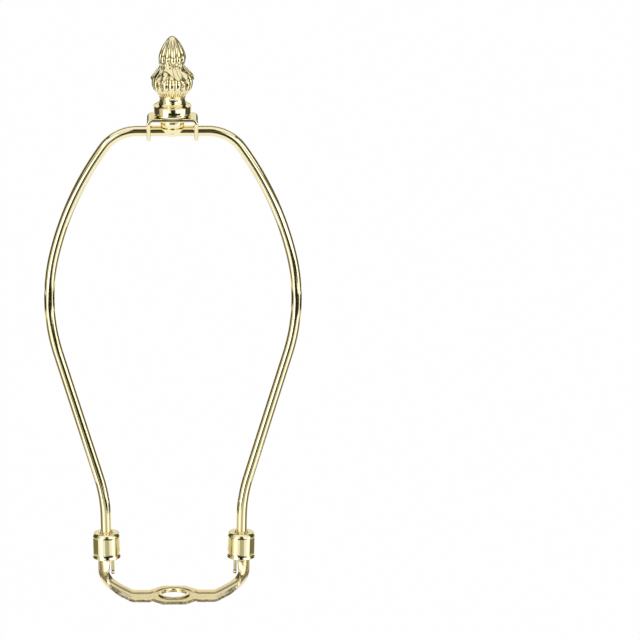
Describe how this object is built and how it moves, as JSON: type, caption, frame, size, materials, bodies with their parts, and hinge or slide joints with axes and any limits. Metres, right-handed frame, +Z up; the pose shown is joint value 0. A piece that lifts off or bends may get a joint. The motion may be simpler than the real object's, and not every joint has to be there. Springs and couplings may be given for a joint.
{
  "type": "lamp harp",
  "caption": "Brass lamp harp: a wire loop on a stamped saddle with a pipe hole, locked by sliding sleeves, with a folded shade rest, a headed stud and an urn finial.",
  "frame": {"origin": "centre of the pipe hole at the saddle's underside", "axes": "+Z up along the pipe hole's axis towards the finial, +X across the loop, the loop's front faces -Y"},
  "size_m": [0.1042, 0.0204, 0.2374],
  "materials": {
    "satin_brass": "satin, brass plated steel sheet",
    "polished_brass": "polished, pale brass plating on steel"
  },
  "bodies": {
    "harp_frame": {"harp_wire": "polished_brass", "saddle": "satin_brass", "shade_rest": "polished_brass"},
    "left_sleeve_body": {"left_sleeve": "polished_brass"},
    "right_sleeve_body": {"right_sleeve": "polished_brass"},
    "stud_body": {"finial_stud": "polished_brass"},
    "finial_body": {"finial": "polished_brass"}
  },
  "joints": [
    {"name": "left_sleeve_slide", "type": "slide", "parent": "harp_frame", "child": "left_sleeve_body", "axis": [-0.0209, 0, 0.9998], "range_m": [0, 0.0115]},
    {"name": "right_sleeve_slide", "type": "slide", "parent": "harp_frame", "child": "right_sleeve_body", "axis": [0.0209, 0, 0.9998], "range_m": [0, 0.0115]},
    {"name": "stud_swivel", "type": "hinge", "parent": "harp_frame", "child": "stud_body", "pos_m": [0, 0, 0.2], "axis": [0, 0, 1], "continuous": true},
    {"name": "finial_slide", "type": "slide", "parent": "stud_body", "child": "finial_body", "axis": [0, 0, 1], "range_m": [0, 0.0105]}
  ]
}
